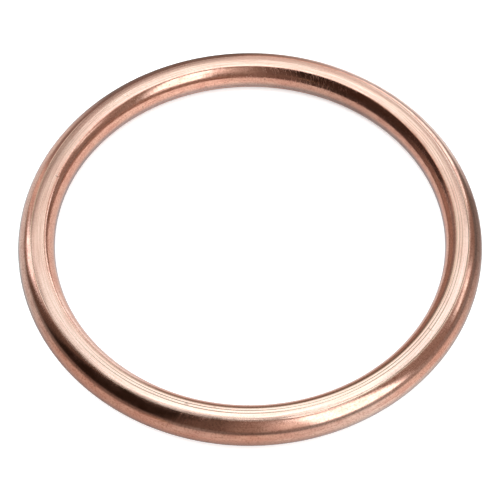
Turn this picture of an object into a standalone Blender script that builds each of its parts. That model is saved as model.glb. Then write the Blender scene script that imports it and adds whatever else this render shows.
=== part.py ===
"""Copper exhaust gasket: one ring with rounded walls and a flat seating land on each face.

The ring lies flat. Its axis is +Z, and the origin is the middle of its underside. Units are metres.
"""
import math

import bpy

COLLECTION_NAME = "exhaust_gasket"
NODE_NAME = "gasket_ring"

# Driving dimensions. The outside diameter follows from them: 45 mm.
BORE_DIAMETER = 0.0380  # across the narrowest part of the bore
HEIGHT = 0.0035  # from land to land
LAND_WIDTH = 0.0012  # flat seating band on each face
OUTER_ROLL = 0.00145  # how far the outer wall stands out past the land
BORE_BULGE = 0.00085  # how far the bore wall stands in past the land

# Fine concentric grooves along the bore side of each land
GROOVE_COUNT = 2
GROOVE_WIDTH = 0.00008
GROOVE_DEPTH = 0.00003
GROOVE_PITCH = 0.00027  # from one groove's middle to the next
LIP_WIDTH = 0.00017  # plain band between the bore edge and the first groove

# Facets
RING_STEPS = 120
OUTER_WALL_STEPS = 16
BORE_WALL_STEPS = 8
CREASE_ANGLE = math.radians(20)
WELD_DISTANCE = 0.000001

# Copper
COPPER_COLOUR = (0.80, 0.44, 0.32, 1.0)
COPPER_ROUGHNESS = 0.22

# The outer wall rolls off the land, and the bore wall meets it at an edge.
MIDDLE_HEIGHT = HEIGHT / 2
LAND_INNER_RADIUS = BORE_DIAMETER / 2 + BORE_BULGE
LAND_OUTER_RADIUS = LAND_INNER_RADIUS + LAND_WIDTH


def clear_scene():
    for item in list(bpy.data.objects):
        bpy.data.objects.remove(item, do_unlink=True)


def land_points():
    """The top land from its bore edge outwards: radius and depth below the face, with its grooves."""
    points = [(LAND_INNER_RADIUS, 0.0)]
    for index in range(GROOVE_COUNT):
        centre = LAND_INNER_RADIUS + LIP_WIDTH + GROOVE_WIDTH / 2 + index * GROOVE_PITCH
        points.append((centre - GROOVE_WIDTH / 2, 0.0))
        points.append((centre, GROOVE_DEPTH))
        points.append((centre + GROOVE_WIDTH / 2, 0.0))
    points.append((LAND_OUTER_RADIUS, 0.0))
    return points


def outer_wall_points():
    """Half an ellipse between the lands' outer edges, tangent to both lands, top to bottom."""
    points = []
    for step in range(1, OUTER_WALL_STEPS):
        angle = math.pi / 2 - math.pi * step / OUTER_WALL_STEPS
        radius = LAND_OUTER_RADIUS + OUTER_ROLL * math.cos(angle)
        points.append((radius, MIDDLE_HEIGHT + MIDDLE_HEIGHT * math.sin(angle)))
    return points


def bore_wall_points():
    """One arc through the lands' bore edges and the narrowest point of the bore, bottom to top."""
    arc_radius = (BORE_BULGE ** 2 + MIDDLE_HEIGHT ** 2) / (2 * BORE_BULGE)
    half_angle = math.atan2(MIDDLE_HEIGHT, arc_radius - BORE_BULGE)
    arc_centre = BORE_DIAMETER / 2 + arc_radius
    points = []
    for step in range(1, BORE_WALL_STEPS):
        angle = half_angle * (2 * step / BORE_WALL_STEPS - 1)
        radius = arc_centre - arc_radius * math.cos(angle)
        points.append((radius, MIDDLE_HEIGHT + arc_radius * math.sin(angle)))
    return points


def section_points():
    """The closed section: across the top, down the outer wall, back underneath and up the bore."""
    land = land_points()
    top = [(radius, HEIGHT - depth) for radius, depth in land]
    bottom = [(radius, depth) for radius, depth in reversed(land)]
    return top + outer_wall_points() + bottom + bore_wall_points()


def copper_material():
    material = bpy.data.materials.new("copper")
    material.use_nodes = True
    shader = material.node_tree.nodes["Principled BSDF"]
    shader.inputs["Base Color"].default_value = COPPER_COLOUR
    shader.inputs["Metallic"].default_value = 1.0
    shader.inputs["Roughness"].default_value = COPPER_ROUGHNESS
    material.diffuse_color = COPPER_COLOUR
    return material


def turned_ring(collection):
    """The section turned about the ring's axis."""
    points = section_points()
    edges = [(index, (index + 1) % len(points)) for index in range(len(points))]
    mesh = bpy.data.meshes.new(NODE_NAME)
    mesh.from_pydata([(radius, 0.0, height) for radius, height in points], edges, [])
    mesh.materials.append(copper_material())
    ring = bpy.data.objects.new(NODE_NAME, mesh)
    collection.objects.link(ring)
    screw = ring.modifiers.new("turn", "SCREW")
    screw.axis = "Z"
    screw.angle = 2 * math.pi
    screw.screw_offset = 0.0
    screw.steps = RING_STEPS
    screw.render_steps = RING_STEPS
    screw.use_merge_vertices = True
    screw.merge_threshold = WELD_DISTANCE
    return ring


def shade(ring):
    """Smooth walls, with the lands' bore edges and the grooves left crisp."""
    depsgraph = bpy.context.evaluated_depsgraph_get()
    solid = bpy.data.meshes.new_from_object(ring.evaluated_get(depsgraph))
    solid.shade_smooth()
    solid.set_sharp_from_angle(angle=CREASE_ANGLE)
    profile = ring.data
    ring.modifiers.clear()
    ring.data = solid
    solid.name = NODE_NAME
    bpy.data.meshes.remove(profile)


def main():
    clear_scene()
    collection = bpy.data.collections.new(COLLECTION_NAME)
    bpy.context.scene.collection.children.link(collection)
    ring = turned_ring(collection)
    shade(ring)


main()
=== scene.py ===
import math

import bpy
import numpy as np
from mathutils import Matrix, Vector

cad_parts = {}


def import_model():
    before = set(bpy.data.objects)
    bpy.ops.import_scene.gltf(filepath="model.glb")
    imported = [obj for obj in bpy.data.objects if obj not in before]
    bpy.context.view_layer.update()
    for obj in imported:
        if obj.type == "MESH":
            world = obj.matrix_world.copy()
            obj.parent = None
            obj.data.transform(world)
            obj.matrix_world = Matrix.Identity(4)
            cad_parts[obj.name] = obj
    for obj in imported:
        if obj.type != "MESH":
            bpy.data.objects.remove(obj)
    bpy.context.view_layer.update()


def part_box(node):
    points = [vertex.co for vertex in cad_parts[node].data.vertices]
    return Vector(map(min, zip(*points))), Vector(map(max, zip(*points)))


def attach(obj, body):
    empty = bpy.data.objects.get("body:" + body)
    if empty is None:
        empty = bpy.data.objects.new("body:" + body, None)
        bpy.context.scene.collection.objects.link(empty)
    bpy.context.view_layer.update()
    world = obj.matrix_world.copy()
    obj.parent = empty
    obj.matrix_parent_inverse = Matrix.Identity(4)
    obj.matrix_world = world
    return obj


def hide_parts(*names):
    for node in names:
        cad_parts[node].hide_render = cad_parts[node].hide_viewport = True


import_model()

# The ring's own sizes, in metres. The outside diameter and the height come from the frame.
NODE = "gasket_ring"
LOW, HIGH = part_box(NODE)
OUTER_RADIUS = (HIGH[0] - LOW[0]) / 2
HEIGHT = HIGH[2] - LOW[2]
MIDDLE_HEIGHT = HEIGHT / 2
BORE_RADIUS = 0.0190
BORE_BULGE = 0.00085
LAND_WIDTH = 0.0012
LAND_INNER = BORE_RADIUS + BORE_BULGE
LAND_OUTER = LAND_INNER + LAND_WIDTH
OUTER_ROLL = OUTER_RADIUS - LAND_OUTER

# Lines turned into each land: middle from the bore edge, half width, depth, share of dark stain and painted
# shade
LAND_LINES = (
    (0.00027, 0.00004, 0.000010, 0.9),
    (0.00053, 0.00004, 0.000010, 0.9),
    (0.00115, 0.00005, 0.000020, 1.0),
)
LINE_GUARD = 0.000006  # flat strip beside each line, so that its slopes stay within it
# How deep and how dark each line is around the ring: azimuth in degrees, share of the full depth and
# darkness
LINE_STRENGTHS = (
    ((-165, 0.1), (-138, 0.3), (-112, 1.0), (-20, 1.0), (10, 0.5), (60, 0.2), (180, 0.2)),
    ((-165, 0.1), (-138, 0.4), (-112, 1.0), (-20, 1.0), (10, 0.4), (60, 0.2), (180, 0.2)),
    ((-165, 0.9), (-150, 0.0), (-85, 0.0), (-70, 0.9), (-5, 1.0), (20, 0.3), (140, 0.2), (165, 0.9)),
)

# The land falls away a little towards its outer edge, and its bore edge is rounded
CROWN_WIDTH = 0.00065
CROWN_SLOPE = math.radians(8.5)
CROWN_FADE = 0.3  # how much of the land's paler finish is lost across the crown
EDGE_RADIUS = 0.00025
EDGE_TILT = math.radians(36.0)
# dark stain and painted shade along the rounded bore edge, as strong around the ring as the first line
EDGE_STAIN_AND_SHADE = 0.7

# Small knocks and specks: azimuth in degrees, distance along the section from the top bore edge,
# half length around the ring, half width along the section, depth, share of dark stain
MARKS = (
    (-37.0, 0.00046, 0.00009, 0.00026, 0.000016, 0.5),
    (164.5, 0.00000, 0.00012, 0.00012, 0.000016, 0.5),
    (126.0, -0.00167, 0.00010, 0.00012, 0.000015, 0.9),
    (155.0, -0.00213, 0.00010, 0.00010, 0.000015, 0.8),
    (-106.0, 0.00037, 0.00022, 0.00008, 0.000020, 0.9),
    (-99.0, 0.00017, 0.00014, 0.00007, 0.000020, 0.8),
    (-128.5, 0.00250, 0.00012, 0.00012, 0.000015, 0.8),
    (-113.5, 0.00370, 0.00014, 0.00012, 0.000015, 0.9),
    (-106.0, 0.00164, 0.00028, 0.00006, 0.000025, 0.0),
    (85.0, -0.00144, 0.00008, 0.00016, 0.000025, 0.7),
    (-95.0, 0.00390, 0.00012, 0.00020, 0.000012, 0.5),
    (-62.0, 0.00400, 0.00010, 0.00012, 0.000012, 0.6),
    (104.0, -0.00200, 0.00012, 0.00016, 0.000015, 0.7),
    (-141.0, 0.00340, 0.00010, 0.00010, 0.000012, 0.6),
)
MARK_FALLOFF = 1.5  # how fast a mark's bowl levels out

# The parts of each wall with slanting scratches: middle azimuth and half width, in degrees, and strength
SCRATCHED_BORE = (72.0, 32.0, 0.9)
SCRATCHED_OUTSIDE = (-104.0, 18.0, 0.45)
SCRATCH_SLANT = math.radians(28.0)

# Mesh steps
RING_STEPS = 600
OUTER_WALL_STEPS = 40
BORE_WALL_STEPS = 20
LINE_STEPS = 3
EDGE_STEPS = 4
LAND_SPACING = 0.00008
UNDERSIDE_SPACING = LAND_SPACING * 3
LINE_CLEARANCE = LAND_SPACING / 3
MARK_STEPS = 7
MARK_REACH = 1.6  # how far the closer steps reach to each side of a mark, in its half lengths
AZIMUTH_DECIMALS = 3
BORE_SHARE = 0.7  # beyond this share of the way round the section, distances run down the bore wall
CREASE_ANGLE = math.radians(30)
MILLIMETRES = 1000  # in a metre

# Camera, from the photograph's own perspective
CAMERA_DISTANCE = 0.10795
CAMERA_ELEVATION = math.radians(56.55)
CAMERA_AIM = Vector((0.0, -0.00135, 0.0))
CAMERA_ROLL = math.radians(-0.336)
CAMERA_NEAR = 0.001
CAMERA_FAR = 10.0
FOCAL_PIXELS = 1089.6
IMAGE_PIXELS = 500
SENSOR_WIDTH = 36.0

# Copper
WALL_COPPER = (0.85, 0.46, 0.34, 1.0)
WALL_TARNISH = (0.76, 0.38, 0.28, 1.0)
LAND_COPPER = (0.90, 0.65, 0.54, 1.0)
LAND_TARNISH = (0.84, 0.58, 0.47, 1.0)
PINK_CAST = (1.0, 0.93, 0.93, 1.0)
GRAIN_SHADE = (0.74, 0.68, 0.64, 1.0)
# dark colour in the turned lines and along the bore edge: part stain, part painted shade
LINE_STAIN_AND_SHADE = (0.44, 0.30, 0.19, 1.0)
SPECK_STAIN = (0.20, 0.12, 0.08, 1.0)

# Unevenness of the copper: cycles a millimetre in x, in y and along the section, then detail
TURNED = ((0.20, 0.20, 7.0), 3.0)
FINE_TURNED = ((0.30, 0.30, 16.0), 2.0)
MOTTLE = ((0.8, 0.8, 2.2), 5.0)
CLOUD = ((0.25, 0.25, 0.4), 2.0)
GRAIN = ((6.0, 6.0, 6.0), 3.0)
DRAWN = ((4.0, 4.0, 0.45), 3.0)
SCRATCHES = ((8.0, 8.0, 0.5), 3.0)

# What that unevenness turns into: its low and high value, then the tint, share or roughness at each
WALL_TINT = (0.38, 0.66, 0.0, 1.0)
LAND_TINT = (0.38, 0.64, 0.0, 1.0)
CLOUD_TINT = (0.42, 0.66, 0.0, 0.8)
GRAIN_TINT = (0.34, 0.52, 0.75, 0.0)
FINE_TURNED_TINT = (0.36, 0.50, 0.45, 0.0)
SCRATCH_SHARE = (0.50, 0.62, 0.0, 1.0)
WALL_ROUGHNESS = (0.35, 0.68, 0.11, 0.23)
LAND_ROUGHNESS = (0.35, 0.65, 0.15, 0.24)
SCRATCH_ROUGHNESS = 0.16

# Changes from the walls to the lands: share of land at each end, then grain or turned relief there
WALL_TO_LAND_GRAIN = (0.0, 1.0, 1.0, 0.3)
WALL_TO_LAND_RELIEF = (0.0, 1.0, 0.30, 0.55)

# Relief of the finish: its depth in metres, and the share of each kind
RELIEF_DEPTH = 0.000008
FINE_TURNED_RELIEF = 0.4
GRAIN_RELIEF = 0.22
DRAWN_RELIEF = 0.30
MOTTLE_RELIEF = 0.4
SCRATCH_RELIEF = 0.22

# Floor, backdrop and lamps
FLOOR_SIZE = 0.6
FLOOR_COLOUR = (0.80, 0.80, 0.80, 1.0)
FLOOR_LIFT = 0.48
WHITE = (1.0, 1.0, 1.0, 1.0)
SKY_LEVEL = 0.45
BACKDROP_LEVEL = 1.0
# Name, place, width and power of each soft lamp
LAMPS = (
    ("key", (0.15, -0.15, 0.5), 0.8, 4.0),
    ("fill", (-0.3, 0.2, 0.5), 0.6, 3.0),
)

# What the metal mirrors. Colours are levels of red, green and blue, and azimuths are in degrees.
PANEL_STEPS = 32
AROUND_STEPS = 181
PANEL_LIFT = 0.00002

# The floor outside the ring: levels by distance from the axis, and by azimuth
OUTSIDE_RADII = (0.0207, 0.0218, 0.0230, 0.0242, 0.0260, 0.0300, 0.0400, 0.0620)
OUTSIDE_LEVELS = (0.14, 0.26, 0.42, 0.57, 0.72, 0.75, 0.75, 0.75)
OUTSIDE_AROUND = (
    (-150, 0.84), (-120, 0.90), (-90, 1.05), (-60, 1.5), (-30, 1.15), (0, 0.8), (30, 1.0),
    (60, 1.2), (90, 0.36), (135, 0.38), (160, 0.85), (180, 0.9),
)
OUTSIDE_PALE = (
    (-120, 0.0), (-90, 0.1), (-60, 1.0), (-30, 0.6), (0, 0.5), (90, 0.9),
    (150, 1.4), (180, 1.3), (-163, 1.1), (-146, 0.2),
)
OUTSIDE_COLOUR = (1.0, 0.95, 0.93)
OUTSIDE_PALE_SHIFT = (0.0, 0.36, 0.50)
RING_FOOT_PALE = 0.15
RING_FOOT_RADIUS = 0.0222
RING_FOOT_FADE = 0.003

# The floor within the bore, from the edge of the patch in its middle out to the foot of the bore wall
INSIDE_RADIUS = 0.0193
INSIDE_STEPS = 31
INSIDE_FOOT_WIDTH = 0.0022
INSIDE_FOOT_LEVEL = 0.46
INSIDE_RISE = 0.62
INSIDE_AROUND = (
    (-90, 0.8), (0, 0.75), (30, 0.72), (60, 0.58), (75, 0.72), (90, 0.92),
    (105, 1.1), (125, 1.0), (150, 0.86), (180, 0.78),
)
INSIDE_COLOUR = (1.0, 1.04, 1.05)
INSIDE_FOOT_SHIFT = (0.0, 0.22, 0.38)
PATCH_MIDDLE_X = 0.0030
PATCH_X = 0.0125
PATCH_Y = 0.0123

# The low fence round that patch: height, level and level of its copper foot, each by azimuth
FENCE_STEPS = 9
FENCE_CROWDING = 1.5
FENCE_HEIGHTS = ((85, 0.0031), (98, 0.0026), (125, 0.0026), (145, 0.0031))
FENCE_LEVELS = ((-30, 0.38), (22, 0.36), (44, 0.055), (72, 0.05), (95, 0.32), (180, 0.34))
FENCE_FOOT_LEVELS = (
    (-180, 0.30), (0, 0.20), (40, 0.06), (75, 0.07), (85, 0.11), (90, 0.16), (97, 0.26), (110, 0.30),
)
FENCE_COLOUR = (1.0, 0.82, 0.72)
FENCE_FOOT_COLOUR = (1.0, 0.52, 0.36)
FENCE_FOOT_HEIGHT = 0.0002
FENCE_FOOT_FADE = 0.0008

# The collar round the ring: levels of its white and its dim upper part, the height in millimetres where
# the white ends and where the collar ends, and how cool it is, each by azimuth
COLLAR_RADIUS = 0.026
COLLAR_GAP = 0.0002  # how far in front of the collar the near glint stands
COLLAR_HEIGHTS = (0.0, 2.5, 2.9, 3.3, 3.7, 4.1, 4.5, 4.9, 5.3, 5.7, 6.1)
COLLAR_FADE = 0.0008
COLLAR_WHITE = (
    (-150, 0.60), (-120, 0.62), (-90, 0.72), (-60, 1.0), (-30, 0.8), (-4, 0.30), (12, 0.24),
    (28, 0.95), (62, 1.1), (76, 0.60), (92, 0.20), (128, 0.26), (146, 0.8), (180, 0.76),
)
COLLAR_DIM = (
    (-150, 0.22), (-120, 0.20), (-104, 0.26), (-90, 0.17), (-76, 0.3), (-60, 0.40), (-40, 0.40),
    (-28, 0.28), (-15, 0.30), (-4, 0.17), (18, 0.17), (30, 0.40), (70, 0.4), (92, 0.22),
    (130, 0.22), (147, 0.6), (165, 0.45), (180, 0.38), (-166, 0.32),
)
COLLAR_WHITE_END = ((-180, 3.9), (-166, 3.6), (-150, 2.9), (120, 2.9), (145, 3.9), (180, 3.9))
COLLAR_END = ((-85, 4.5), (-60, 5.0), (-40, 5.2), (18, 5.2), (35, 4.5))
COLLAR_COOL = (
    (-180, 1.0), (-160, 0.9), (-145, 0.0), (-115, 0.1), (-102, 0.4), (-90, 0.0), (-75, 0.6), (-60, 1.0),
    (-50, 0.4), (-36, 0.15), (-20, 0.5), (10, 0.6), (32, 1.2), (62, 1.2), (76, 0.5), (90, 0.1), (116, 0.3),
    (131, 0.7), (147, 0.6), (164, 1.0),
)
COLLAR_COLOUR = (1.0, 0.93, 0.88)
COLLAR_COOL_SHIFT = (0.0, 0.33, 0.50)

# Panels on a dome over the ring: name; low left, low right, top right and top left corner as azimuth and
# elevation; colour; soft share of its width; distance from the middle, in metres; and how far its low edge
# sags in the middle, in degrees. Nearer panels cover those behind them.
DOME_PANELS = (
    ("room", ((-180, -3), (180, -3), (180, 90), (-180, 90)), (0.31, 0.27, 0.245), 0.0, 0.0660, 0.0),
    ("dim_right", ((234, -2), (266, -2), (266, 86), (234, 86)), (0.14, 0.115, 0.10), 0.22, 0.0655, 0.0),
    ("dim_left", ((163, -2), (206, -2), (212, 86), (176, 86)), (0.12, 0.095, 0.08), 0.20, 0.0654, 0.0),
    ("dark_side", ((182, -2), (248, -2), (248, 86), (196, 86)), (0.022, 0.015, 0.011), 0.11, 0.0650, 0.0),
    ("back_light", ((20, 37), (160, 40), (160, 84), (12, 84)), (1.02, 1.0, 0.99), 0.10, 0.0645, 0.0),
    ("back_wall", ((50, -2), (165, -2), (150, 36), (58, 36)), (0.80, 0.76, 0.74), 0.08, 0.0640, 0.0),
    ("back_dark", ((74, -2), (146, -2), (140, 36), (92, 27)), (0.26, 0.25, 0.25), 0.13, 0.0635, 0.0),
    ("far_strip", ((46, 38.5), (128, 38.5), (128, 45), (46, 45)), (1.7, 1.85, 1.9), 0.20, 0.0630, 5.0),
    ("right_high", ((14, 43), (34, 34), (46, 80), (-20, 72)), (1.32, 1.52, 1.64), 0.13, 0.0625, 0.0),
    ("left_high", ((137, 46), (167, 46), (190, 76), (137, 76)), (1.18, 1.3, 1.36), 0.25, 0.0625, 0.0),
    ("window_end", ((-90, 12), (-62, 12), (-62, 68), (-88, 68)), (0.95, 1.0, 1.0), 0.45, 0.0622, 0.0),
    ("window", ((-71, 2), (-31, 2), (-31, 73), (-76, 73)), (2.4, 3.0, 3.3), 0.20, 0.0620, 0.0),
    ("right_lamp", ((-12, 26), (14, 24), (22, 44), (0, 41)), (1.5, 1.8, 1.95), 0.30, 0.0610, 0.0),
    ("left_lamp", ((149, 22), (173, 22), (173, 46), (149, 46)), (2.1, 2.7, 3.1), 0.38, 0.0610, 0.0),
    ("back_right_dim", ((37, 28), (64, 25), (64, 35), (41, 39)), (0.72, 0.69, 0.67), 0.15, 0.0615, 0.0),
    ("back_right_window", ((38, 9), (84, 8), (68, 24), (29, 34)), (1.8, 2.3, 2.6), 0.18, 0.0610, 0.0),
    ("right_glint", ((30, 24), (41, 26), (43, 37), (30, 37)), (1.5, 1.9, 2.1), 0.35, 0.0610, 0.0),
)
GLINT_COLOUR = (0.75, 0.62, 0.42)
FAR_GLINT = ("far_glint", ((-125, 9), (-113, 9), (-113, 14), (-125, 14)), GLINT_COLOUR, 0.4, 0.0610, 0.0)

# The level panel over the ring, and the dimmer place in its middle
CEILING_COLOUR = (1.9, 2.1, 2.2)
CEILING_HEIGHT = 0.058
CEILING_MIDDLE_X = 0.0010
CEILING_MIDDLE_Y = 0.0250
CEILING_X = 0.0464
CEILING_Y = 0.0354
CEILING_REACH = 0.99  # how much of its half ellipse's width the panel has
CEILING_FAR_EDGE = 0.0300
CEILING_SOFT = 0.0016
DIP_DEPTH = 0.26
DIP_NEAR_EDGE = 0.001
DIP_NEAR_FADE = 0.004
DIP_HALF_WIDTH = 0.017
DIP_SIDE_FADE = 0.008

# Upright curved cards: name, radius, azimuths, heights, colour, soft share, whether it is one sided
BORE_CARDS = (
    ("bore_screen", 0.0188, (142, 10), (0.0, 0.0034), (0.36, 0.29, 0.25), 0.1, True),
    ("bore_edge_shade", 0.0186, (85, 58), (0.0, 0.0115), (0.22, 0.155, 0.125), 0.2, True),
)
NEAR_CARDS = (
    ("near_left_card", 0.0145, (-178, -118), (0.0, 0.0032), (1.25, 1.65, 1.85), 0.3, True),
    ("near_glint", COLLAR_RADIUS - COLLAR_GAP, (-109, -118), (0.0034, 0.0037), GLINT_COLOUR, 0.4, False),
)
# Upright flat cards over the bore: name, start, end, heights, colour, soft share
BORE_SCREENS = (
    ("bore_shade", (-0.005, -0.002), (-0.005, 0.0165), (0.0036, 0.0210), (0.045, 0.028, 0.020), 0.12),
    ("edge_card", (-0.0135, 0.015), (-0.0035, 0.015), (0.0026, 0.0085), (2.0, 2.3, 2.4), 0.40),
)


def smoothstep(value):
    """A soft rise from 0 to 1, held at both ends."""
    value = np.clip(value, 0.0, 1.0)
    return value * value * (3 - 2 * value)


def around(azimuth, pairs):
    """A value that changes steadily with azimuth, through pairs of azimuth in degrees and value."""
    places = np.array([pair[0] for pair in pairs], float)
    values = np.array([pair[1] for pair in pairs], float)
    return np.interp(np.degrees(azimuth), places, values, period=360)


def turned_points(radius, azimuth, height):
    """Points at a distance from the ring's axis, at an azimuth and a height."""
    axes = np.broadcast_arrays(radius * np.cos(azimuth), radius * np.sin(azimuth), height)
    return np.stack(axes, axis=-1)


# The section and the ring turned from it

def land_distances(fine):
    """Places across a land, from its bore edge outwards: closer together in the lines."""
    places = []
    for step in range(EDGE_STEPS + 1):
        tilt = EDGE_TILT * step / EDGE_STEPS
        places.append(EDGE_RADIUS * (math.sin(EDGE_TILT) - math.sin(tilt)))
    steps = LINE_STEPS if fine else 1
    spans = []
    for place, half_width, depth, dark in LAND_LINES:
        places += [place + half_width * step / steps for step in range(-steps, steps + 1)]
        places += [place - half_width - LINE_GUARD, place + half_width + LINE_GUARD]
        spans.append((place - half_width - LINE_CLEARANCE, place + half_width + LINE_CLEARANCE))
    spacing = LAND_SPACING if fine else UNDERSIDE_SPACING
    for place in np.arange(EDGE_RADIUS, LAND_WIDTH, spacing):
        if not any(low < place < high for low, high in spans):
            places.append(place)
    places = [place for place in places if place <= LAND_WIDTH - LINE_GUARD]
    return np.array(sorted(places) + [LAND_WIDTH])


def plain_depth(distance):
    """How far the land lies below its highest level, without its lines: rounded bore edge and crown."""
    tilt_share = np.clip(math.sin(EDGE_TILT) - distance / EDGE_RADIUS, 0.0, 1.0)
    edge = EDGE_RADIUS * (1 - np.sqrt(1 - tilt_share * tilt_share))
    reach = np.maximum(0.0, distance - (LAND_WIDTH - CROWN_WIDTH))
    return edge + math.tan(CROWN_SLOPE) * reach * reach / (2 * CROWN_WIDTH)


def land_share(distance):
    """How much of the land's paler finish each place has: less towards the outer edge."""
    return 1 - CROWN_FADE * smoothstep((distance - (LAND_WIDTH - CROWN_WIDTH)) / CROWN_WIDTH)


def line_bowls(distance):
    """One row for each line: how far into it each distance lies, from 0 at its sides to 1 in its middle."""
    rows = []
    for place, half_width, depth, dark in LAND_LINES:
        share = (distance - place) / half_width
        rows.append(np.maximum(0.0, 1 - share * share))
    return np.array(rows)


def outer_wall():
    """The outer wall from the top land to the bottom one: part of an ellipse, tangent to both crowns."""
    drop = float(plain_depth(np.array([LAND_WIDTH]))[0])
    start = math.pi / 2 - math.atan(math.tan(CROWN_SLOPE) * OUTER_ROLL / MIDDLE_HEIGHT)
    inset = OUTER_ROLL * math.cos(start) / (1 - math.cos(start))
    half_height = (MIDDLE_HEIGHT - drop) / math.sin(start)
    angle = start - 2 * start * np.arange(1, OUTER_WALL_STEPS) / OUTER_WALL_STEPS
    radius = LAND_OUTER - inset + (OUTER_ROLL + inset) * np.cos(angle)
    return radius, MIDDLE_HEIGHT + half_height * np.sin(angle)


def bore_wall():
    """The bore wall from the bottom land up to the top one: one arc."""
    arc_radius = (BORE_BULGE ** 2 + MIDDLE_HEIGHT ** 2) / (2 * BORE_BULGE)
    half_angle = math.atan2(MIDDLE_HEIGHT, arc_radius - BORE_BULGE)
    angle = half_angle * (2 * np.arange(1, BORE_WALL_STEPS) / BORE_WALL_STEPS - 1)
    return BORE_RADIUS + arc_radius - arc_radius * np.cos(angle), MIDDLE_HEIGHT + arc_radius * np.sin(angle)


def ring_azimuths():
    """Even steps around the ring, with closer ones at each mark."""
    azimuth = list(np.linspace(-180.0, 180.0, RING_STEPS, endpoint=False))
    for place, distance, half_length, half_width, depth, dark in MARKS:
        reach = math.degrees(half_length / LAND_OUTER) * MARK_REACH
        azimuth += list(place + np.linspace(-reach, reach, MARK_STEPS))
    return np.radians(np.unique(np.round(azimuth, AZIMUTH_DECIMALS)))


def scratched_part(azimuth, part):
    """How scratched a wall is at each azimuth."""
    middle, reach, strength = part
    return (strength * smoothstep(1 - np.abs(np.degrees(azimuth) - middle) / reach))[:, None]


def section_normals(radius, height):
    """The outward and upward share of the surface's direction at each place of the section."""
    step_out = np.roll(radius, -1) - np.roll(radius, 1)
    step_up = np.roll(height, -1) - np.roll(height, 1)
    size = np.hypot(step_out, step_up)
    return -step_up / size, step_out / size


def section_travel(radius, height):
    """Distance along the section from the top bore edge: outwards, and below zero down the bore wall."""
    travel = np.concatenate([[0.0], np.cumsum(np.hypot(np.diff(radius), np.diff(height)))])
    return np.where(travel > travel[-1] * BORE_SHARE, travel - travel[-1] - LINE_GUARD, travel)


def marked(azimuth, travel):
    """Depth and dark stain of the knocks and specks over the whole ring."""
    knock = np.zeros((len(azimuth), len(travel)))
    stain = np.zeros_like(knock)
    for place, distance, half_length, half_width, depth, dark in MARKS:
        turn = (azimuth - math.radians(place) + math.pi) % (2 * math.pi) - math.pi
        along = (turn * LAND_OUTER / half_length)[:, None]
        across = ((travel - distance) / half_width)[None, :]
        bowl = np.exp(-(along * along + across * across) * MARK_FALLOFF)
        knock += depth * bowl
        stain = np.maximum(stain, dark * bowl)
    return knock, stain


def ring_faces(rows, columns):
    """Four-sided faces over a grid that closes on itself both ways."""
    row, column = np.meshgrid(np.arange(rows), np.arange(columns), indexing="ij")
    next_row = (row + 1) % rows
    next_column = (column + 1) % columns
    corners = [
        row * columns + column,
        row * columns + next_column,
        next_row * columns + next_column,
        next_row * columns + column,
    ]
    return np.stack(corners, axis=-1).reshape(-1, 4)


def ring_mesh():
    """The whole ring, with what its finish needs to know at each point."""
    azimuth = ring_azimuths()
    top = land_distances(fine=True)
    under = land_distances(fine=False)[::-1]
    wall_radius, wall_height = outer_wall()
    bore_radius, bore_height = bore_wall()
    radius = np.concatenate([LAND_INNER + top, wall_radius, LAND_INNER + under, bore_radius])
    height = np.concatenate([HEIGHT - plain_depth(top), wall_height, plain_depth(under), bore_height])
    lengths = [len(top), len(wall_radius), len(under), len(bore_radius)]
    part = np.repeat(["top", "wall", "under", "bore"], lengths)

    land = np.zeros(len(radius))
    bowls = np.zeros((len(LAND_LINES), len(radius)))
    for name, distance in (("top", top), ("under", under)):
        land[part == name] = land_share(distance)
        bowls[:, part == name] = line_bowls(distance)
    upright = 1.0 * (part == "top") - (part == "under")
    strength = np.array([around(azimuth, pairs) for pairs in LINE_STRENGTHS])
    depths = np.array([depth for place, half_width, depth, dark in LAND_LINES])
    # how dark each line and the bore edge are painted, by azimuth: part stain, part painted shade
    stain_and_shade_shares = np.array([dark for place, half_width, depth, dark in LAND_LINES])
    cut = (strength.T * depths) @ bowls * upright
    groove_stain_and_shade = (strength.T * stain_and_shade_shares) @ bowls
    edge = np.maximum(0.0, 1 - top / (EDGE_RADIUS * math.sin(EDGE_TILT)))
    groove_stain_and_shade[:, part == "top"] += EDGE_STAIN_AND_SHADE * strength[0][:, None] * edge

    outward, upward = section_normals(radius, height)
    travel = section_travel(radius, height)
    knock, stain = marked(azimuth, travel)
    vertices = turned_points(radius - knock * outward, azimuth[:, None], height - (knock * upward + cut))
    mesh = bpy.data.meshes.new("gasket_ring_surface")
    faces = ring_faces(len(azimuth), len(radius))
    mesh.from_pydata(vertices.reshape(-1, 3).tolist(), [], faces.tolist())

    scratched_bore = scratched_part(azimuth, SCRATCHED_BORE) * (part == "bore")
    scratched_outside = scratched_part(azimuth, SCRATCHED_OUTSIDE) * (part == "wall")
    shares = {
        "land": np.broadcast_to(land, knock.shape),
        "groove_stain_and_shade": groove_stain_and_shade,
        "stain": stain,
        "scratched": scratched_bore + scratched_outside,
    }
    for name, values in shares.items():
        attribute = mesh.attributes.new(name, "FLOAT", "POINT")
        attribute.data.foreach_set("value", np.ascontiguousarray(values, np.float32).ravel())
    place = turned_points(LAND_OUTER, azimuth[:, None], travel) * MILLIMETRES
    attribute = mesh.attributes.new("place", "FLOAT_VECTOR", "POINT")
    attribute.data.foreach_set("vector", place.astype(np.float32).ravel())
    mesh.shade_smooth()
    mesh.set_sharp_from_angle(angle=CREASE_ANGLE)
    mesh.validate()
    return mesh


# Node helpers

def add_node(tree, kind, **values):
    node = tree.nodes.new(kind)
    for name, value in values.items():
        setattr(node, name, value)
    return node


def share_of(tree, name):
    """One of the numbers that the mesh carries at each point."""
    return add_node(tree, "ShaderNodeAttribute", attribute_name=name).outputs["Fac"]


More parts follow.
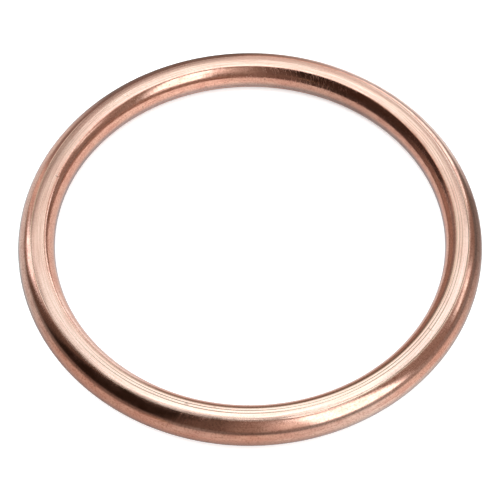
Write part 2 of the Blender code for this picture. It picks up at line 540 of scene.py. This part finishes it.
def noise(tree, place, scale, detail):
    """Noise with a scale for each direction, in cycles a millimetre."""
    mapping = add_node(tree, "ShaderNodeMapping")
    mapping.inputs["Scale"].default_value = scale
    texture = add_node(tree, "ShaderNodeTexNoise")
    texture.inputs["Scale"].default_value = 1.0
    texture.inputs["Detail"].default_value = detail
    tree.links.new(place, mapping.inputs["Vector"])
    tree.links.new(mapping.outputs["Vector"], texture.inputs["Vector"])
    return texture.outputs["Fac"]


def spread(tree, value, low, high, to_low, to_high):
    """One range mapped onto another, held at both ends."""
    node = add_node(tree, "ShaderNodeMapRange")
    for name, number in (("From Min", low), ("From Max", high), ("To Min", to_low), ("To Max", to_high)):
        node.inputs[name].default_value = number
    tree.links.new(value, node.inputs["Value"])
    return node.outputs["Result"]


def combine(tree, operation, first, second):
    """Two numbers put together. Each is a socket or a plain number."""
    node = add_node(tree, "ShaderNodeMath", operation=operation)
    for socket, value in zip(node.inputs, (first, second)):
        if isinstance(value, float):
            socket.default_value = value
        else:
            tree.links.new(value, socket)
    return node.outputs[0]


def blend(tree, amount, first, second, mode="MIX"):
    """Two colours mixed by an amount. Each is a colour socket or plain numbers."""
    node = add_node(tree, "ShaderNodeMix", data_type="RGBA", blend_type=mode)
    for socket, value in ((node.inputs[0], amount), (node.inputs[6], first), (node.inputs[7], second)):
        if isinstance(value, (float, tuple)):
            socket.default_value = value
        else:
            tree.links.new(value, socket)
    return node.outputs[2]


def copper_material():
    """Copper: turned streaks on lands, grain and mottle on walls; hollows darkened by stain and painted
    shade.
    """
    material = bpy.data.materials.new("copper")
    material.use_nodes = True
    tree = material.node_tree
    shader = tree.nodes["Principled BSDF"]
    shader.inputs["Metallic"].default_value = 1.0
    land = share_of(tree, "land")
    groove_stain_and_shade = share_of(tree, "groove_stain_and_shade")
    stain = share_of(tree, "stain")
    place = add_node(tree, "ShaderNodeAttribute", attribute_name="place").outputs["Vector"]
    scratched = share_of(tree, "scratched")
    slanted = add_node(tree, "ShaderNodeMapping")
    slanted.inputs["Rotation"].default_value = (0.0, SCRATCH_SLANT, 0.0)
    tree.links.new(place, slanted.inputs["Vector"])

    turned = noise(tree, place, *TURNED)
    fine_turned = noise(tree, place, *FINE_TURNED)
    mottle = noise(tree, place, *MOTTLE)
    cloud = noise(tree, place, *CLOUD)
    grain = noise(tree, place, *GRAIN)
    drawn = noise(tree, place, *DRAWN)
    slant = noise(tree, slanted.outputs["Vector"], *SCRATCHES)

    on_walls = spread(tree, land, *WALL_TO_LAND_GRAIN)
    wall_colour = blend(tree, spread(tree, mottle, *WALL_TINT), WALL_COPPER, WALL_TARNISH)
    land_colour = blend(tree, spread(tree, turned, *LAND_TINT), LAND_COPPER, LAND_TARNISH)
    colour = blend(tree, land, wall_colour, land_colour)
    colour = blend(tree, spread(tree, cloud, *CLOUD_TINT), colour, PINK_CAST, "MULTIPLY")
    grain_tint = combine(tree, "MULTIPLY", spread(tree, grain, *GRAIN_TINT), on_walls)
    colour = blend(tree, grain_tint, colour, GRAIN_SHADE, "MULTIPLY")
    colour = blend(tree, spread(tree, fine_turned, *FINE_TURNED_TINT), colour, GRAIN_SHADE, "MULTIPLY")
    # the lines and bore edge darkened: part stain, part painted shade
    colour = blend(tree, groove_stain_and_shade, colour, LINE_STAIN_AND_SHADE)
    colour = blend(tree, stain, colour, SPECK_STAIN)
    tree.links.new(colour, shader.inputs["Base Color"])

    wall_rough = spread(tree, mottle, *WALL_ROUGHNESS)
    land_rough = spread(tree, turned, *LAND_ROUGHNESS)
    rough = add_node(tree, "ShaderNodeMix", data_type="FLOAT")
    tree.links.new(land, rough.inputs[0])
    tree.links.new(wall_rough, rough.inputs[2])
    tree.links.new(land_rough, rough.inputs[3])
    scratches = combine(tree, "MULTIPLY", scratched, spread(tree, slant, *SCRATCH_SHARE))
    rubbed = combine(tree, "MULTIPLY", scratches, SCRATCH_ROUGHNESS)
    tree.links.new(combine(tree, "ADD", rough.outputs[0], rubbed), shader.inputs["Roughness"])

    streaks = combine(tree, "ADD", turned, combine(tree, "MULTIPLY", fine_turned, FINE_TURNED_RELIEF))
    relief = combine(tree, "MULTIPLY", streaks, spread(tree, land, *WALL_TO_LAND_RELIEF))
    grain_height = combine(tree, "MULTIPLY", on_walls, GRAIN_RELIEF)
    relief = combine(tree, "ADD", relief, combine(tree, "MULTIPLY", grain, grain_height))
    relief = combine(tree, "ADD", relief, combine(tree, "MULTIPLY", drawn, DRAWN_RELIEF))
    relief = combine(tree, "ADD", relief, combine(tree, "MULTIPLY", mottle, MOTTLE_RELIEF))
    relief = combine(tree, "ADD", relief, combine(tree, "MULTIPLY", scratches, SCRATCH_RELIEF))
    bump = add_node(tree, "ShaderNodeBump")
    bump.inputs["Strength"].default_value = 1.0
    bump.inputs["Distance"].default_value = RELIEF_DEPTH
    tree.links.new(relief, bump.inputs["Height"])
    tree.links.new(bump.outputs["Normal"], shader.inputs["Normal"])
    return material


def gasket():
    ring = bpy.data.objects.new("copper_ring", ring_mesh())
    bpy.context.scene.collection.objects.link(ring)
    ring.data.materials.append(copper_material())
    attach(ring, "root")
    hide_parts(NODE)


# Studio

def panel_material(name, one_sided):
    """Emission painted by the panel's own points: clear at soft edges and, if one sided, from behind."""
    material = bpy.data.materials.new(name)
    material.use_nodes = True
    tree = material.node_tree
    tree.nodes.clear()
    output = add_node(tree, "ShaderNodeOutputMaterial")
    light = add_node(tree, "ShaderNodeEmission")
    clear = add_node(tree, "ShaderNodeBsdfTransparent")
    mix = add_node(tree, "ShaderNodeMixShader")
    glow = add_node(tree, "ShaderNodeAttribute", attribute_name="glow")
    amount = share_of(tree, "fade")
    tree.links.new(glow.outputs["Color"], light.inputs["Color"])
    if one_sided:
        behind = add_node(tree, "ShaderNodeNewGeometry").outputs["Backfacing"]
        amount = combine(tree, "MULTIPLY", amount, combine(tree, "SUBTRACT", 1.0, behind))
    tree.links.new(amount, mix.inputs[0])
    tree.links.new(clear.outputs[0], mix.inputs[1])
    tree.links.new(light.outputs[0], mix.inputs[2])
    tree.links.new(mix.outputs[0], output.inputs["Surface"])
    return material


def reflection_panel(name, grid, glow, fade, one_sided=False):
    """A sheet that shows in the metal and nowhere else. The grid holds its points, row by row."""
    rows, columns = grid.shape[:2]
    i, j = np.meshgrid(np.arange(rows - 1), np.arange(columns - 1), indexing="ij")
    first = i * columns + j
    faces = np.stack([first, first + columns, first + columns + 1, first + 1], -1).reshape(-1, 4)
    mesh = bpy.data.meshes.new(name)
    mesh.from_pydata(grid.reshape(-1, 3).tolist(), [], faces.tolist())
    colours = np.ones((rows, columns, 4), np.float32)
    colours[..., :3] = glow
    mesh.attributes.new("glow", "FLOAT_COLOR", "POINT").data.foreach_set("color", colours.ravel())
    shares = np.broadcast_to(fade, (rows, columns)).astype(np.float32)
    mesh.attributes.new("fade", "FLOAT", "POINT").data.foreach_set("value", shares.ravel())
    kind = "one_sided_panel" if one_sided else "reflection_panel"
    mesh.materials.append(bpy.data.materials.get(kind) or panel_material(kind, one_sided))
    obj = bpy.data.objects.new(name, mesh)
    bpy.context.scene.collection.objects.link(obj)
    obj.visible_camera = False
    obj.visible_diffuse = False
    obj.visible_transmission = False
    obj.visible_volume_scatter = False
    obj.visible_shadow = False


def unit_grid(steps):
    """Two shares of a panel's width and height at each of its points."""
    share = np.linspace(0.0, 1.0, steps + 1)
    return np.meshgrid(share, share, indexing="ij")


def dome_panel(name, corners, glow, soft, radius, sag):
    """A panel on the dome. Its low edge sags most in its middle."""
    u, v = unit_grid(PANEL_STEPS)
    low_left, low_right, top_right, top_left = np.radians(np.array(corners, float))
    across = u[..., None]
    upward = v[..., None]
    low = low_left * (1 - across) + low_right * across
    top = top_left * (1 - across) + top_right * across
    azimuth, elevation = np.moveaxis(low * (1 - upward) + top * upward, -1, 0)
    elevation = elevation - math.radians(sag) * 4 * u * (1 - u) * (1 - v)
    grid = turned_points(np.cos(elevation), azimuth, np.sin(elevation)) * radius
    edge = np.minimum(np.minimum(u, 1 - u), np.minimum(v, 1 - v))
    fade = smoothstep(edge / soft) if soft else 1.0
    reflection_panel(name, grid, np.array(glow), fade)


def ceiling_panel():
    """A level panel over the ring. Its near edge is half an ellipse, and its middle is a little dimmer."""
    u, v = unit_grid(PANEL_STEPS * 2)
    across = CEILING_X * CEILING_REACH * np.sin((u - 0.5) * math.pi)
    x = CEILING_MIDDLE_X + across
    near_edge = CEILING_MIDDLE_Y - CEILING_Y * np.sqrt(1 - (across / CEILING_X) ** 2)
    y = near_edge + (CEILING_FAR_EDGE - near_edge) * v
    fade = smoothstep(np.minimum(y - near_edge, CEILING_FAR_EDGE - y) / CEILING_SOFT)
    fade = fade * smoothstep((CEILING_X - np.abs(across)) / CEILING_SOFT)
    beside = smoothstep((np.abs(x) - DIP_HALF_WIDTH) / DIP_SIDE_FADE)
    dip = smoothstep((y - DIP_NEAR_EDGE) / DIP_NEAR_FADE) * (1 - beside)
    level = (1 - DIP_DEPTH * dip)[..., None] * np.array(CEILING_COLOUR)
    grid = np.stack([x, y, np.full_like(x, CEILING_HEIGHT)], -1)
    reflection_panel("overhead", grid, level, fade)


def curved_card(name, radius, azimuths, heights, glow, soft, one_sided):
    """An upright card around the ring's axis. It faces the axis if its azimuths fall, or else away.

    Its low and top edges are half as soft as its ends.
    """
    u, v = unit_grid(PANEL_STEPS)
    azimuth = np.radians(azimuths[0] + (azimuths[1] - azimuths[0]) * u)
    height = heights[0] + (heights[1] - heights[0]) * v
    grid = turned_points(radius, azimuth, height)
    edge = np.minimum(np.minimum(u, 1 - u), np.minimum(v, 1 - v) * 2)
    reflection_panel(name, grid, np.array(glow), smoothstep(edge / soft), one_sided)


def flat_card(name, start, end, heights, glow, soft):
    """An upright flat card over the bore. It shows only to the right of the path from start to end.

    Its foot is sharp, and its top edge is twice as soft as its ends.
    """
    u, v = unit_grid(PANEL_STEPS)
    x = start[0] + (end[0] - start[0]) * u
    y = start[1] + (end[1] - start[1]) * u
    z = heights[0] + (heights[1] - heights[0]) * v
    edge = np.minimum(np.minimum(u, 1 - u), (1 - v) * 0.5)
    reflection_panel(name, np.stack([x, y, z], -1), np.array(glow), smoothstep(edge / soft), True)


def azimuth_steps():
    return np.linspace(-math.pi, math.pi, AROUND_STEPS)


def floor_outside():
    """What the metal mirrors of the floor outside the ring: dim beside it and brighter farther out."""
    radii = np.array(OUTSIDE_RADII)
    azimuth = azimuth_steps()
    level = around(azimuth, OUTSIDE_AROUND)[:, None] * np.array(OUTSIDE_LEVELS)[None, :]
    at_foot = RING_FOOT_PALE * (1 - smoothstep((radii - RING_FOOT_RADIUS) / RING_FOOT_FADE))
    pale = np.maximum(around(azimuth, OUTSIDE_PALE)[:, None], at_foot[None, :])
    tint = np.array(OUTSIDE_COLOUR) + pale[..., None] * np.array(OUTSIDE_PALE_SHIFT)
    grid = turned_points(radii[None, :], azimuth[:, None], PANEL_LIFT)
    reflection_panel("floor_outside", grid, level[..., None] * tint, 1.0)


def floor_inside():
    """What the bore wall mirrors of the floor within it: dimmer and cooler at the wall's foot."""
    azimuth, share = np.meshgrid(azimuth_steps(), np.linspace(0.0, 1.0, INSIDE_STEPS), indexing="ij")
    radius = patch_radius(azimuth) + (INSIDE_RADIUS - patch_radius(azimuth)) * share
    clear = smoothstep((INSIDE_RADIUS - radius) / INSIDE_FOOT_WIDTH)
    level = around(azimuth, INSIDE_AROUND) * (INSIDE_FOOT_LEVEL + INSIDE_RISE * clear)
    tint = np.array(INSIDE_COLOUR) + (1 - clear)[..., None] * np.array(INSIDE_FOOT_SHIFT)
    grid = turned_points(radius, azimuth, PANEL_LIFT)
    reflection_panel("floor_inside", grid, level[..., None] * tint, 1.0)


def patch_radius(azimuth):
    """Distance from the ring's axis to the edge of the patch within the bore, at each azimuth."""
    across, along = np.cos(azimuth) / PATCH_X, np.sin(azimuth) / PATCH_Y
    shift = PATCH_MIDDLE_X / PATCH_X
    a = across ** 2 + along ** 2
    b = across * shift
    return (b + np.sqrt(b * b + a * (1 - shift * shift))) / a


def bore_fence():
    """A low dim fence within the bore. It hides the far side of the ring from the bore wall."""
    shares = np.linspace(0.0, 1.0, FENCE_STEPS) ** FENCE_CROWDING
    azimuth, share = np.meshgrid(azimuth_steps(), shares, indexing="ij")
    height = share * around(azimuth, FENCE_HEIGHTS)
    grid = turned_points(patch_radius(azimuth), azimuth, height)
    foot = (1 - smoothstep((height - FENCE_FOOT_HEIGHT) / FENCE_FOOT_FADE))[..., None]
    plain = around(azimuth, FENCE_LEVELS)[..., None] * np.array(FENCE_COLOUR)
    copper = around(azimuth, FENCE_FOOT_LEVELS)[..., None] * np.array(FENCE_FOOT_COLOUR)
    reflection_panel("bore_fence", grid, plain * (1 - foot) + copper * foot, 1.0)


def collar():
    """A low white fence round the ring with a dim upper edge, for the outer wall to mirror."""
    heights = np.array(COLLAR_HEIGHTS) / MILLIMETRES
    azimuth, height = np.meshgrid(azimuth_steps(), heights, indexing="ij")
    white_end = around(azimuth, COLLAR_WHITE_END) / MILLIMETRES
    end = around(azimuth, COLLAR_END) / MILLIMETRES
    upper = smoothstep((height - white_end) / COLLAR_FADE)
    level = around(azimuth, COLLAR_WHITE) * (1 - upper) + around(azimuth, COLLAR_DIM) * upper
    fade = 1 - smoothstep((height - end) / COLLAR_FADE)
    cool = around(azimuth, COLLAR_COOL)[..., None] * np.array(COLLAR_COOL_SHIFT)
    grid = turned_points(COLLAR_RADIUS, azimuth, height)
    reflection_panel("collar", grid, level[..., None] * (np.array(COLLAR_COLOUR) + cool), fade)


def floor():
    """A pale floor that keeps the ring's shadow."""
    bpy.ops.mesh.primitive_plane_add(size=FLOOR_SIZE)
    plane = bpy.context.object
    plane.name = "floor"
    material = bpy.data.materials.new("floor")
    material.use_nodes = True
    tree = material.node_tree
    tree.nodes.clear()
    output = add_node(tree, "ShaderNodeOutputMaterial")
    paper = add_node(tree, "ShaderNodeBsdfDiffuse")
    paper.inputs["Color"].default_value = FLOOR_COLOUR
    lift = add_node(tree, "ShaderNodeEmission")
    path = add_node(tree, "ShaderNodeLightPath")
    both = add_node(tree, "ShaderNodeAddShader")
    amount = combine(tree, "MULTIPLY", path.outputs["Is Camera Ray"], FLOOR_LIFT)
    tree.links.new(amount, lift.inputs["Strength"])
    tree.links.new(paper.outputs[0], both.inputs[0])
    tree.links.new(lift.outputs[0], both.inputs[1])
    tree.links.new(both.outputs[0], output.inputs["Surface"])
    plane.data.materials.append(material)


def world():
    """White behind the ring, and a dim grey sky as light."""
    background = bpy.data.worlds.new("studio")
    bpy.context.scene.world = background
    background.use_nodes = True
    tree = background.node_tree
    tree.nodes.clear()
    output = add_node(tree, "ShaderNodeOutputWorld")
    sky = add_node(tree, "ShaderNodeBackground")
    white = add_node(tree, "ShaderNodeBackground")
    mix = add_node(tree, "ShaderNodeMixShader")
    path = add_node(tree, "ShaderNodeLightPath")
    sky.inputs["Strength"].default_value = SKY_LEVEL
    white.inputs["Color"].default_value = WHITE
    white.inputs["Strength"].default_value = BACKDROP_LEVEL
    seen = combine(tree, "MAXIMUM", path.outputs["Is Camera Ray"], path.outputs["Is Glossy Ray"])
    tree.links.new(seen, mix.inputs[0])
    tree.links.new(sky.outputs[0], mix.inputs[1])
    tree.links.new(white.outputs[0], mix.inputs[2])
    tree.links.new(mix.outputs[0], output.inputs["Surface"])


def soft_lamp(name, location, size, power):
    """A square lamp aimed at the ring, left out of its reflections."""
    data = bpy.data.lights.new(name, "AREA")
    data.shape = "SQUARE"
    data.size = size
    data.energy = power
    lamp = bpy.data.objects.new(name, data)
    lamp.location = location
    lamp.rotation_euler = (-Vector(location)).to_track_quat("-Z", "Y").to_euler()
    lamp.visible_glossy = False
    bpy.context.scene.collection.objects.link(lamp)


def camera():
    data = bpy.data.cameras.new("camera")
    data.sensor_fit = "HORIZONTAL"
    data.sensor_width = SENSOR_WIDTH
    data.lens = FOCAL_PIXELS * SENSOR_WIDTH / IMAGE_PIXELS
    data.clip_start = CAMERA_NEAR
    data.clip_end = CAMERA_FAR
    place = Vector((0.0, -math.cos(CAMERA_ELEVATION), math.sin(CAMERA_ELEVATION))) * CAMERA_DISTANCE
    forward = (CAMERA_AIM - place).normalized()
    right = forward.cross(Vector((0, 0, 1))).normalized()
    up = right.cross(forward)
    turned_right = right * math.cos(CAMERA_ROLL) + up * math.sin(CAMERA_ROLL)
    turned_up = up * math.cos(CAMERA_ROLL) - right * math.sin(CAMERA_ROLL)
    turn = Matrix((turned_right, turned_up, -forward)).transposed().to_4x4()
    obj = bpy.data.objects.new("camera", data)
    obj.matrix_world = Matrix.Translation(place) @ turn
    bpy.context.scene.collection.objects.link(obj)
    bpy.context.scene.camera = obj


def studio():
    floor()
    world()
    for lamp in LAMPS:
        soft_lamp(*lamp)
    floor_outside()
    floor_inside()
    collar()
    bore_fence()
    for panel in DOME_PANELS:
        dome_panel(*panel)
    ceiling_panel()
    for card in BORE_CARDS:
        curved_card(*card)
    for card in BORE_SCREENS:
        flat_card(*card)
    for card in NEAR_CARDS:
        curved_card(*card)
    dome_panel(*FAR_GLINT)


gasket()
studio()
camera()
bpy.context.scene.view_settings.view_transform = "Standard"
